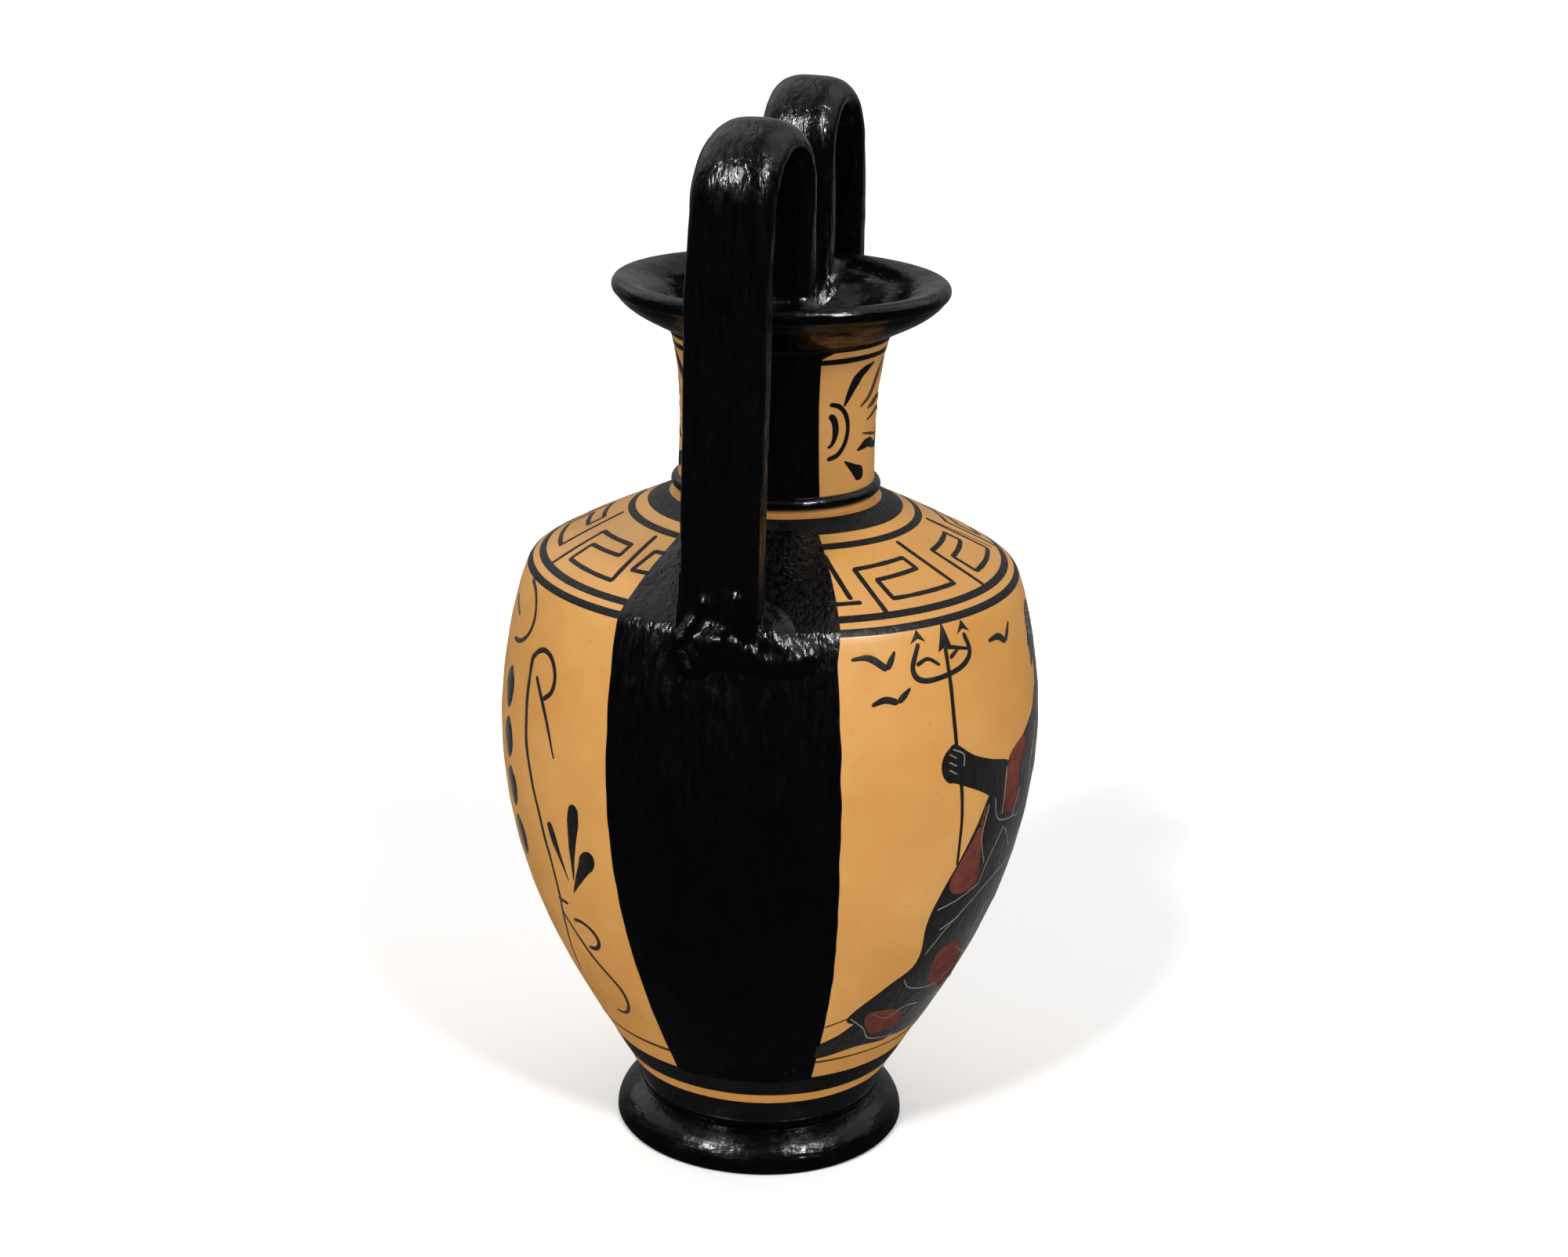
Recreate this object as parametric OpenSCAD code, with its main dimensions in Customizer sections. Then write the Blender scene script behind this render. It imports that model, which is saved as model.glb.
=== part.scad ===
// Neck amphora: a two-handled fired clay jar on a ring foot, built up from thrown and pulled pieces
// that are luted together with slip. +Z is up, the origin is the centre of the foot's underside,
// the handles stand at -X and +X, and the main painted side faces -Y. All sizes are in mm.

/* [Foot] */
// Height of the foot, from the surface it stands on to the seat of the body
foot_h = 12; // [11:0.5:14]
// Radius of the foot's rounded edge in section
foot_roll = 9; // [8:0.5:9.5]
// Radius of the circle that the rounded edge follows
foot_roll_r = 29.5; // [28:0.5:31]
// Height of that circle
foot_roll_z = 1; // [0.5:0.25:1.5]
// Width of the flat ring that the jar stands on, measured to that circle
foot_flat = 3; // [2:0.5:4]
// Depth of the hollow trimmed into the underside
foot_hollow = 5; // [3:0.5:7]

/* [Body] */
// Widest radius of the belly
belly_r = 69.6; // [66:0.2:72]
// Height of the widest place
belly_z = 116; // [108:1:120]
// Radius of the belly where it sits on the foot
base_r = 31.6; // [31.2:0.1:33]
// Radius of the edge between belly and shoulder
edge_r = 62.5; // [60:0.5:64]
// Height of the edge between belly and shoulder
edge_z = 157; // [153:1:159]
// Height of the collar that the neck stands on
collar_z = 175; // [173:0.5:178]
// Thickness of the wall
wall = 5; // [4:0.5:6]

/* [Neck and mouth] */
// Outer radius of the neck at its narrowest
neck_r = 24.7; // [23.5:0.1:25.5]
// Outer radius of the neck at its foot
neck_base_r = 25.2; // [24.9:0.1:26]
// Outer radius of the neck under the mouth
neck_top_r = 27.9; // [27:0.1:29]
// Height of the joint between neck and mouth
mouth_z = 217; // [215:0.5:219]
// Radius of the moulded ring round the foot of the neck, in section
ring_roll = 1.6; // [1.3:0.1:2]
// Height of the ring's middle above the collar
ring_rise = 3.2; // [2.5:0.1:4]
// Outer radius of the mouth
rim_r = 42.4; // [40:0.2:44]
// Height of the top of the rim
rim_z = 230; // [228:0.5:232]
// Radius of the rounded lip in section
lip_roll = 2.2; // [1.6:0.1:2.6]

/* [Handles] */
// Width of the handle strap
strap_w = 20.2; // [17:0.2:21]
// Thickness of the handle strap
strap_t = 8.5; // [8.3:0.1:9.5]
// Radius of the rounded strap edges
strap_round = 4; // [2:0.1:4.1]
// Distance from the axis to the outer face of the strap
strap_out = 64.2; // [62:0.2:65]
// Distance from the axis to the inner face of the strap, over the mouth
strap_in = 26; // [25.5:0.5:28]
// Height of the top of the handles
handle_top = 274.6; // [268:0.2:280]
// Turn of the left handle about its outer strand
left_turn = 7.5; // [0:0.5:8]
// Turn of the right handle about its outer strand
right_turn = 5; // [0:0.5:8]
// Turn of the lower coils about the jar's axis, away from the handles' middles
coil_turn = 7; // [0:0.5:8]

/* [Hidden] */
$fn = 96;

glaze = [0.05, 0.05, 0.06];
clay = [0.86, 0.62, 0.34];
long_curve_steps = 20;
curve_steps = 12;
short_curve_steps = 8;
overcut = 1;

// Pulls of the outline's curves: how far each curve's handle lies from the end that it belongs to
base_pull = [6.8, 19];
belly_pull_down = [0, -0.45 * belly_z];
belly_pull_up = [0, 5];
edge_pull_down = [6, -15];
edge_pull_in = [-7.5, 5];
collar_pull = [12, -5.6];
neck_pull_up = [neck_r - neck_base_r - 0.2, 14];
neck_pull_down = [neck_r - neck_top_r - 0.6, -10];
throat_pull_down = [0, -11];
throat_pull_up = [0, 14];
mouth_pull_out = [4, 2.6];
lip_pull_under = [-3.1, -4.5];
lip_pull_over = [-6.8, -0.5];
throat_pull_out = [6, 8];
// Place on the lip, in degrees from straight down, where the mouth's underside meets it
lip_join = 35;

// Point at t on the cubic curve with the ends p0 and p3 and the handles p1 and p2
function curve_point(p0, p1, p2, p3, t) =
    pow(1 - t, 3) * p0 + 3 * pow(1 - t, 2) * t * p1 + 3 * (1 - t) * t * t * p2 + pow(t, 3) * p3;

// All the curve's points but its first
function curve(p0, p1, p2, p3, steps = curve_steps) =
    [for (i = [1:steps]) curve_point(p0, p1, p2, p3, i / steps)];

// The same, with the handles given as pulls from the two ends
function pulled(start, start_pull, end_pull, end, steps = curve_steps) =
    curve(start, start + start_pull, end + end_pull, end, steps);

// ---- outlines, as [radius, height] points ----

base = [base_r, foot_h];
widest = [belly_r, belly_z];
edge = [edge_r, edge_z];
collar = [neck_base_r + 1.8, collar_z];

// The inside of the edge lies half as far down as in
function inner_edge(inset) = edge - [inset, inset / 2];

function belly_outline(inset = 0) =
    let (in = [inset, 0])
    concat(
        pulled(base - in, base_pull, belly_pull_down, widest - in, long_curve_steps),
        pulled(widest - in, belly_pull_up, edge_pull_down + [0, inset / 2], inner_edge(inset))
    );

function shoulder_outline(drop = 0) =
    let (down = [0, drop])
    pulled(
        inner_edge(drop),
        edge_pull_in + drop * [0.4, -0.1],
        collar_pull,
        collar - down,
        short_curve_steps
    );

throat_r = neck_r - wall + 0.8;
mouth_bore_r = neck_top_r - wall;
floor_t = wall + 1;

module vessel_outside() {
    polygon(concat(
        [[0, foot_h], base],
        belly_outline(),
        shoulder_outline(),
        [[0, collar_z]]
    ));
}

module vessel_inside() {
    floor_z = foot_h + floor_t;
    intersection() {
        polygon(concat(
            [[0, foot_h], base - [wall, 0]],
            belly_outline(wall),
            shoulder_outline(wall),
            [[throat_r, collar_z - wall], [throat_r, collar_z + overcut], [0, collar_z + overcut]]
        ));
        translate([0, floor_z]) square([belly_r, collar_z - floor_z + overcut]);
    }
}

// ---- the thrown pieces ----

foot_seat_r = base_r - 0.3;
foot_flat_r = foot_roll_r - foot_flat;
foot_hollow_r = foot_flat_r - 0.4 * foot_hollow;

module foot() {
    color(glaze) rotate_extrude() difference() {
        union() {
            intersection() {
                translate([foot_roll_r, foot_roll_z]) circle(foot_roll);
                square([foot_roll_r + foot_roll, foot_h]);
            }
            square([foot_seat_r, foot_h]);
        }
        polygon([
            [0, -overcut],
            [foot_flat_r + overcut, -overcut],
            [foot_hollow_r, foot_hollow],
            [0, foot_hollow]
        ]);
    }
}

module body() {
    color(clay) rotate_extrude() difference() {
        vessel_outside();
        vessel_inside();
    }
}

function neck_outline() =
    let (foot_point = [neck_base_r, collar_z])
    concat(
        [foot_point],
        pulled(foot_point, neck_pull_up, neck_pull_down, [neck_top_r, mouth_z])
    );

module neck() {
    inner_foot = [throat_r, collar_z];
    inner_top = [mouth_bore_r, mouth_z];
    color(clay) rotate_extrude() polygon(concat(
        [inner_foot],
        neck_outline(),
        [inner_top],
        pulled(
            inner_top,
            throat_pull_down + [throat_r - mouth_bore_r, 0],
            throat_pull_up,
            inner_foot,
            short_curve_steps
        )
    ));
}

module neck_ring() {
    color(glaze) rotate_extrude() difference() {
        translate([neck_base_r, collar_z + ring_rise]) circle(ring_roll);
        polygon(concat([[0, collar_z]], neck_outline(), [[0, mouth_z]]));
    }
}

lip = [rim_r - lip_roll, rim_z - lip_roll];
lip_top = lip + [0, lip_roll];
lip_under = lip + lip_roll * [sin(lip_join), -cos(lip_join)];

// The hollow of the mouth, from the top of the lip down into the throat
function dish_outline() = concat(
    [lip_top],
    pulled(lip_top, lip_pull_over, throat_pull_out, [mouth_bore_r, mouth_z])
);

// Section of the dished mouth: a flared underside, a rounded lip and the hollow
module mouth_section() {
    under_start = [neck_top_r, mouth_z];
    union() {
        translate(lip) circle(lip_roll);
        polygon(concat(
            [under_start],
            pulled(under_start, mouth_pull_out, lip_pull_under, lip_under, short_curve_steps),
            dish_outline()
        ));
    }
}

module mouth() {
    color(glaze) rotate_extrude() mouth_section();
}

// Everything below the dish's surface, which the handles' inner ends are cut to fit
module mouth_fill_section() {
    fill_z = mouth_z - 2 * wall;
    polygon(concat(
        [[0, mouth_z], [0, fill_z], [lip[0], fill_z]],
        dish_outline()
    ));
}

// ---- the handles ----

bend_r = (strap_out - strap_in - strap_t) / 2;
bend_x = (strap_out + strap_in) / 2;
bend_z = handle_top - bend_r - strap_t / 2;

// Section of the strap: thickness along X, width along Y
module strap_section() {
    flat_t = strap_t - 2 * strap_round;
    flat_w = strap_w - 2 * strap_round;
    square([strap_t, flat_w], center = true);
    square([flat_t, strap_w], center = true);
    for (x = [-1, 1], y = [-1, 1])
        translate([x * flat_t / 2, y * flat_w / 2]) circle(strap_round);
}

// How far the outer leg runs on below the edge, into the wall of the belly
strap_depth = 14;

// A handle on the +X side: outer leg, bend and inner leg in one pulled strap
module strap() {
    outer_z = edge_z - strap_depth;
    inner_z = mouth_z;
    translate([bend_x + bend_r, 0, outer_z])
        linear_extrude(bend_z - outer_z) strap_section();
    translate([bend_x - bend_r, 0, inner_z])
        linear_extrude(bend_z - inner_z) strap_section();
    translate([bend_x, 0, bend_z])
        rotate([90, 0, 0])
            rotate_extrude(angle = 180)
                translate([bend_r, 0]) strap_section();
}

module turned(turn) {
    translate([strap_out, 0, 0]) rotate([0, 0, turn]) translate([-strap_out, 0, 0]) children();
}

module handle(turn) {
    color(glaze) difference() {
        turned(turn) strap();
        rotate_extrude() vessel_outside();
        rotate_extrude() mouth_fill_section();
    }
}

module right_handle() {
    handle(-right_turn);
}

module left_handle() {
    rotate([0, 0, 180]) handle(-left_turn);
}

// ---- coils of clay pressed round the ends of the handles ----

lower_coil_roll = 5.5;
lower_coil_half = 16;
upper_coil_roll = 3;
upper_coil_half = 18;
lower_coil_centre = edge - [0, 5];
upper_coil_centre = [strap_in + strap_t, rim_z - 2];

// The children's section, swept from -half to +half degrees about the axis
module swept(half) {
    rotate([0, 0, -half]) rotate_extrude(angle = 2 * half) children();
}

module lower_coil(turn) {
    color(glaze) difference() {
        rotate([0, 0, coil_turn]) swept(lower_coil_half) difference() {
            translate(lower_coil_centre) circle(lower_coil_roll);
            vessel_outside();
        }
        turned(turn) strap();
    }
}

module upper_coil(turn) {
    color(glaze) difference() {
        swept(upper_coil_half) difference() {
            translate(upper_coil_centre) circle(upper_coil_roll);
            mouth_fill_section();
        }
        turned(turn) strap();
    }
}

module right_lower_coil() {
    lower_coil(-right_turn);
}

module left_lower_coil() {
    rotate([0, 0, 180]) lower_coil(-left_turn);
}

module right_upper_coil() {
    upper_coil(-right_turn);
}

module left_upper_coil() {
    rotate([0, 0, 180]) upper_coil(-left_turn);
}

foot();
body();
neck();
neck_ring();
mouth();
left_handle();
right_handle();
left_lower_coil();
right_lower_coil();
left_upper_coil();
right_upper_coil();
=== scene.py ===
"""Looks of a two-handled clay jar painted in black on an ochre ground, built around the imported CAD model.

Lengths in the design are in millimetres and angles in degrees; every mesh is made in metres in the CAD
frame. A place on a thrown piece is (azimuth, h): azimuth 0 faces -Y and -90 faces -X, and h is the height
of the place up to the belly's edge. On the shoulder, h goes on as the distance in from that edge.
"""
import math

import bmesh
import bpy
import numpy as np
from mathutils import Matrix, Vector, geometry, noise


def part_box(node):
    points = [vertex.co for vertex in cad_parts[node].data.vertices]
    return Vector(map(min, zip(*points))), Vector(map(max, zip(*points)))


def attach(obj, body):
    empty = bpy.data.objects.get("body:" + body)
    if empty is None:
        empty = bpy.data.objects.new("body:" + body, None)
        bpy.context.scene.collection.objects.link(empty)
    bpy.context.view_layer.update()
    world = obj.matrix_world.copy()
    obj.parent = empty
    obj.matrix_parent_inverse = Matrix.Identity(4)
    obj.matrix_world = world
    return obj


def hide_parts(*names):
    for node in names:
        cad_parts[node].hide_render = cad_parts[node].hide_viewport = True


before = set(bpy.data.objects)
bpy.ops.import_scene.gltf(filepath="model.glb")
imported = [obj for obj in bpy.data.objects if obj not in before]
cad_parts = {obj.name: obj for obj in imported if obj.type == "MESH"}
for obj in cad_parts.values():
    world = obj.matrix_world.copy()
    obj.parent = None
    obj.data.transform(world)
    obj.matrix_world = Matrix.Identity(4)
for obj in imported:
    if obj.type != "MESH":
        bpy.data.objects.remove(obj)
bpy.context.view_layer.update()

MM = 0.001

NOISE_SEED = 3
noise.seed_set(NOISE_SEED)  # without it, noise_vector's offsets come from the clock


def top(node):
    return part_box(node)[1].z / MM


def bottom(node):
    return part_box(node)[0].z / MM


def reach(node):
    low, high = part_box(node)
    return max(-low.x, high.x) / MM


# ---- sizes, in mm, from the CAD nodes' boxes and the jar's own outline ----

FOOT_TOP = top("foot")
EDGE_Z = 157.0
EDGE_R = 62.5
COLLAR_Z = top("body")
NECK_TOP = top("neck")
RIM_Z = top("mouth")
RIM_R = reach("mouth")
BELLY_R = reach("body")
BELLY_Z = 116.0
BASE_R = 31.6
NECK_FOOT_R = 25.2
NECK_TOP_R = reach("neck")
COLLAR_R = 27.0
THROAT_R = 20.5
WALL = 5.0
FOOT_R = reach("foot")
HANDLE_TOP = top("left_handle")
STRAP_W = 20.2
STRAP_T = 8.5
STRAP_OUT = 64.2
STRAP_IN = 26.0
LEFT_TURN = 7.5
RIGHT_TURN = 5.0

# ---- the camera, the floor and the lights ----

CAMERA_AZIMUTH = -78.0
CAMERA_DISTANCE = 651.2
CAMERA_HEIGHT = 350.5
CAMERA_PITCH = 18.052
CAMERA_YAW = 0.278
CAMERA_ROLL = 1.622
CAMERA_LENS = 60.73


def on_circle(azimuth, radius, height):
    """The point, in mm, at an azimuth, a distance from the axis and a height."""
    a = math.radians(azimuth)
    return Vector((radius * math.sin(a), -radius * math.cos(a), height))


def make_camera():
    data = bpy.data.cameras.new("camera")
    data.sensor_width = 36.0
    data.sensor_fit = "HORIZONTAL"
    data.lens = CAMERA_LENS
    data.clip_start = 0.01
    camera = bpy.data.objects.new("camera", data)
    bpy.context.scene.collection.objects.link(camera)
    turn = Matrix.Rotation(math.radians(CAMERA_AZIMUTH - CAMERA_YAW), 4, "Z")
    tilt = Matrix.Rotation(math.radians(90 - CAMERA_PITCH), 4, "X")
    roll = Matrix.Rotation(math.radians(CAMERA_ROLL), 4, "Z")
    place = Matrix.Translation(on_circle(CAMERA_AZIMUTH, CAMERA_DISTANCE, CAMERA_HEIGHT) * MM)
    camera.matrix_world = place @ turn @ tilt @ roll
    bpy.context.scene.camera = camera


def sun(name, azimuth, elevation, strength, spread, matt=True, gloss=True):
    """A far studio lamp that shows on matt faces, in gloss, or both.

    Strength is in W/m2 and spread is the lamp's width in degrees."""
    data = bpy.data.lights.new(name, "SUN")
    data.energy = strength
    data.angle = math.radians(spread)
    light = bpy.data.objects.new(name, data)
    bpy.context.scene.collection.objects.link(light)
    light.visible_diffuse = matt
    light.visible_glossy = gloss
    rise = math.radians(elevation)
    place = on_circle(azimuth, math.cos(rise), math.sin(rise))
    light.rotation_euler = (-place).to_track_quat("-Z", "Y").to_euler()


def set_inputs(node, values):
    for name, value in values.items():
        node.inputs[name].default_value = value


WORLD_FILL = 0.38
GLOSS_DARK = 0.04
GLOSS_BRIGHT = 0.36


def background(nodes, colour, strength):
    node = nodes.new("ShaderNodeBackground")
    set_inputs(node, {"Color": (*colour, 1), "Strength": strength})
    return node.outputs[0]


def make_world():
    """White behind the object, an even fill for matt faces and a dim one for what gloss mirrors."""
    world = bpy.data.worlds.new("studio")
    bpy.context.scene.world = world
    world.use_nodes = True
    nodes, links = world.node_tree.nodes, world.node_tree.links
    nodes.clear()
    path = nodes.new("ShaderNodeLightPath")
    away = nodes.new("ShaderNodeVectorMath")
    away.operation = "DOT_PRODUCT"
    links.new(nodes.new("ShaderNodeTexCoord").outputs["Generated"], away.inputs[0])
    away.inputs[1].default_value = on_circle(CAMERA_AZIMUTH + 180, 0.7, 0.7)
    sheen = nodes.new("ShaderNodeMapRange")
    sheen.interpolation_type = "SMOOTHSTEP"
    set_inputs(sheen, {"From Min": 0.15, "From Max": 0.85, "To Min": GLOSS_DARK, "To Max": GLOSS_BRIGHT})
    links.new(away.outputs["Value"], sheen.inputs["Value"])
    gloss = nodes.new("ShaderNodeBackground")
    gloss.inputs["Color"].default_value = (0.95, 0.97, 1, 1)
    links.new(sheen.outputs["Result"], gloss.inputs["Strength"])
    shade = background(nodes, (1, 0.99, 0.97), WORLD_FILL)
    for ray, other in (("Is Glossy Ray", gloss.outputs[0]),
                       ("Is Camera Ray", background(nodes, (1, 1, 1), 1.0))):
        mix = nodes.new("ShaderNodeMixShader")
        links.new(path.outputs[ray], mix.inputs["Fac"])
        links.new(shade, mix.inputs[1])
        links.new(other, mix.inputs[2])
        shade = mix.outputs[0]
    links.new(shade, nodes.new("ShaderNodeOutputWorld").inputs["Surface"])


LAMP_HEIGHT = 43.0
LAMP_ASIDE = 30.0
LEFT_POWER = 1.78
RIGHT_POWER = 1.42
STRIP_HEIGHTS = [36.0, 50.0]
STRIP_ASIDE = 44.0
STRIP_POWER = 2.4


def make_lights():
    """Two lamps for the matt faces, a tall strip to each side of the camera that only shows in gloss, and
    two broad weak lamps that lift the other sides."""
    sun("left_lamp", CAMERA_AZIMUTH - LAMP_ASIDE, LAMP_HEIGHT, LEFT_POWER, 8.0, gloss=False)
    sun("right_lamp", CAMERA_AZIMUTH + LAMP_ASIDE, LAMP_HEIGHT, RIGHT_POWER, 8.0, gloss=False)
    for height in STRIP_HEIGHTS:
        sun("left_strip", CAMERA_AZIMUTH - STRIP_ASIDE, height, STRIP_POWER, 6.0, matt=False)
        sun("right_strip", CAMERA_AZIMUTH + STRIP_ASIDE, height, STRIP_POWER, 6.0, matt=False)
    sun("front_fill", 30.0, 45.0, 0.7, 60.0)
    sun("back_fill", 150.0, 45.0, 0.7, 60.0)


FLOOR_SIZE = 40.0


def make_floor():
    bpy.ops.mesh.primitive_plane_add(size=FLOOR_SIZE)
    floor = bpy.context.object
    floor.name = "floor"
    floor.visible_glossy = False
    material = bpy.data.materials.new("floor_white")
    material.use_nodes = True
    shader = material.node_tree.nodes["Principled BSDF"]
    set_inputs(shader, {"Base Color": (0.93, 0.93, 0.93, 1), "Roughness": 0.9, "Specular IOR Level": 0.1})
    floor.data.materials.append(material)


# ---- node helpers ----

class Nodes:
    """A small helper that adds shader nodes to one material."""

    def __init__(self, name):
        self.material = bpy.data.materials.new(name)
        self.material.use_nodes = True
        self.tree = self.material.node_tree
        self.shader = self.tree.nodes["Principled BSDF"]
        self.place = self.tree.nodes.new("ShaderNodeTexCoord").outputs["Object"]

    def link(self, a, b):
        self.tree.links.new(a, b)

    def scaled(self, factors):
        node = self.tree.nodes.new("ShaderNodeMapping")
        node.inputs["Scale"].default_value = factors
        self.link(self.place, node.inputs["Vector"])
        return node.outputs[0]

    def noise(self, scale, detail=4.0, rough=0.55, distort=0.0, at=None):
        node = self.tree.nodes.new("ShaderNodeTexNoise")
        set_inputs(node, {"Scale": scale, "Detail": detail, "Roughness": rough, "Distortion": distort})
        self.link(at or self.place, node.inputs["Vector"])
        return node.outputs["Fac"]

    def ramp(self, value, stops):
        node = self.tree.nodes.new("ShaderNodeValToRGB")
        ramp = node.color_ramp
        while len(ramp.elements) < len(stops):
            ramp.elements.new(0.5)
        for element, (where, colour) in zip(ramp.elements, stops):
            element.position = where
            element.color = (*colour, 1)
        self.link(value, node.inputs["Fac"])
        return node.outputs["Color"]

    def spread(self, value, low, high):
        """value, from about 0.3 to 0.7 as noise gives it, spread from low to high."""
        node = self.tree.nodes.new("ShaderNodeMapRange")
        set_inputs(node, {"From Min": 0.3, "From Max": 0.7, "To Min": low, "To Max": high})
        self.link(value, node.inputs["Value"])
        return node.outputs["Result"]

    def mix(self, factor, a, b, blend="MIX"):
        node = self.tree.nodes.new("ShaderNodeMix")
        node.data_type = "RGBA"
        node.blend_type = blend
        for value, socket in ((factor, node.inputs[0]), (a, node.inputs[6]), (b, node.inputs[7])):
            if isinstance(value, (int, float)):
                socket.default_value = value
            elif isinstance(value, tuple):
                socket.default_value = (*value, 1)
            else:
                self.link(value, socket)
        return node.outputs[2]

    def bump(self, height, strength, distance, after=None):
        node = self.tree.nodes.new("ShaderNodeBump")
        set_inputs(node, {"Strength": strength, "Distance": distance})
        self.link(height, node.inputs["Height"])
        if after:
            self.link(after, node.inputs["Normal"])
        return node.outputs["Normal"]


# linear red, green and blue
CLAY_CLOUDS = [(0.3, (0.455, 0.212, 0.042)), (0.5, (0.505, 0.252, 0.055)), (0.7, (0.56, 0.30, 0.085))]
CLAY_PATCH, CLAY_SPECK = (0.5, 0.2, 0.038), (0.33, 0.15, 0.045)
GLAZE_BLACK, SLIP_BLACK = (0.0004, 0.0004, 0.0007), (0.0022, 0.0018, 0.0018)
DARK_RED, PALE, BROWN = (0.16, 0.032, 0.02), (0.21, 0.19, 0.155), (0.095, 0.03, 0.01)


def clay_material():
    """Ochre slip over fired clay: satin, with soft clouds, small iron specks and faint wheel marks."""
    n = Nodes("ochre_clay")
    clouds = n.noise(20.0, 5.0, 0.6)
    patches = n.noise(55.0, 6.0, 0.7, 0.6)
    colour = n.mix(n.spread(patches, 0.0, 0.42), n.ramp(clouds, CLAY_CLOUDS), CLAY_PATCH)
    specks = n.ramp(n.noise(900.0, 2.0, 0.5), [(0.7, (0, 0, 0)), (0.77, (1, 1, 1))])
    colour = n.mix(specks, colour, CLAY_SPECK)
    n.link(colour, n.shader.inputs["Base Color"])
    n.link(n.spread(n.noise(160.0, 4.0), 0.34, 0.5), n.shader.inputs["Roughness"])
    n.shader.inputs["Specular IOR Level"].default_value = 0.4
    rings = n.noise(1.0, 3.0, 0.5, 0.0, n.scaled((6.0, 6.0, 420.0)))
    grain = n.noise(1400.0, 3.0, 0.6)
    normal = n.bump(rings, 0.25, 0.0002)
    n.link(n.bump(grain, 0.2, 0.0001, normal), n.shader.inputs["Normal"])
    return n.material


def glaze_material(name, rough, lumps, colour=GLAZE_BLACK, shine=0.2, grain=(620.0, 620.0, 130.0), bloom=0.0):
    """Black slip laid on with a brush, pooled unevenly, with fine streaks; bloom greys it at its limb."""
    n = Nodes(name)
    cloud = n.noise(90.0, 4.0, 0.6)
    lighter = tuple(c * 2.0 for c in colour)
    n.link(n.mix(n.spread(cloud, 0.0, 1.0), colour, lighter), n.shader.inputs["Base Color"])
    streaks = n.noise(1.0, 2.5, 0.6, 0.3, n.scaled(grain))
    n.link(n.spread(streaks, rough - 0.07, rough + 0.12), n.shader.inputs["Roughness"])
    set_inputs(n.shader, {"Specular IOR Level": shine, "Sheen Weight": bloom, "Sheen Roughness": 0.35})
    pooled = n.noise(130.0, 3.0, 0.5)
    normal = n.bump(pooled, lumps, 0.0012)
    n.link(n.bump(streaks, 0.5, 0.0006, normal), n.shader.inputs["Normal"])
    return n.material


def slip_material(name, colour, rough=0.5):
    """Thin coloured slip over the clay or the black, a little uneven."""
    n = Nodes(name)
    darker = tuple(c * 0.55 for c in colour)
    mottle = n.spread(n.noise(260.0, 5.0, 0.65), 0.0, 1.0)
    n.link(n.mix(mottle, colour, darker), n.shader.inputs["Base Color"])
    n.link(n.spread(n.noise(300.0, 3.0), rough - 0.08, rough + 0.08), n.shader.inputs["Roughness"])
    n.shader.inputs["Specular IOR Level"].default_value = 0.25
    n.link(n.bump(n.noise(900.0, 3.0, 0.6), 0.2, 0.0001), n.shader.inputs["Normal"])
    return n.material


# ---- outlines ----

def curve(p0, p1, p2, p3, count=80):
    """Points of a cubic curve without its first."""
    t = np.linspace(0, 1, count + 1)[1:, None]
    p0, p1, p2, p3 = (np.array(p, float) for p in (p0, p1, p2, p3))
    return (1 - t) ** 3 * p0 + 3 * (1 - t) ** 2 * t * p1 + 3 * (1 - t) * t * t * p2 + t ** 3 * p3


def arc(centre, radius, start, end, count=24):
    """Points of an arc in the section plane; 0 degrees points outward and 90 up."""
    a = np.radians(np.linspace(start, end, count))
    return np.stack([centre[0] + radius * np.cos(a), centre[1] + radius * np.sin(a)], -1)


def eased(points, reach_mm):
    """points with their corners rounded, by averaging along the line over a reach."""
    points = np.asarray(points, float)
    along = np.concatenate([[0], np.cumsum(np.linalg.norm(np.diff(points, axis=0), axis=1))])
    even = np.arange(0, along[-1], 0.25)
    line = np.stack([np.interp(even, along, points[:, k]) for k in (0, 1)], -1)
    width = max(1, int(reach_mm / 0.25)) | 1
    padded = np.pad(line, ((width // 2, width // 2), (0, 0)), mode="edge")
    kernel = np.ones(width) / width
    line = np.stack([np.convolve(padded[:, k], kernel, "valid") for k in (0, 1)], -1)
    line[0], line[-1] = points[0], points[-1]
    return line


EDGE = (EDGE_R, EDGE_Z)
BELLY_LINE = np.vstack([
    [(BASE_R, FOOT_TOP)],
    curve((BASE_R, FOOT_TOP), (38.4, 31.0), (BELLY_R, 63.8), (BELLY_R, BELLY_Z)),
    curve((BELLY_R, BELLY_Z), (BELLY_R, 121.0), (68.5, 142.0), EDGE),
])
SHOULDER_LINE = curve(EDGE, (55.0, 162.0), (39.0, 169.4), (COLLAR_R, COLLAR_Z))
NECK_LINE = np.vstack([
    [(NECK_FOOT_R, COLLAR_Z)],
    curve((NECK_FOOT_R, COLLAR_Z), (24.5, 189.0), (24.1, 207.0), (NECK_TOP_R, NECK_TOP)),
])


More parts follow.
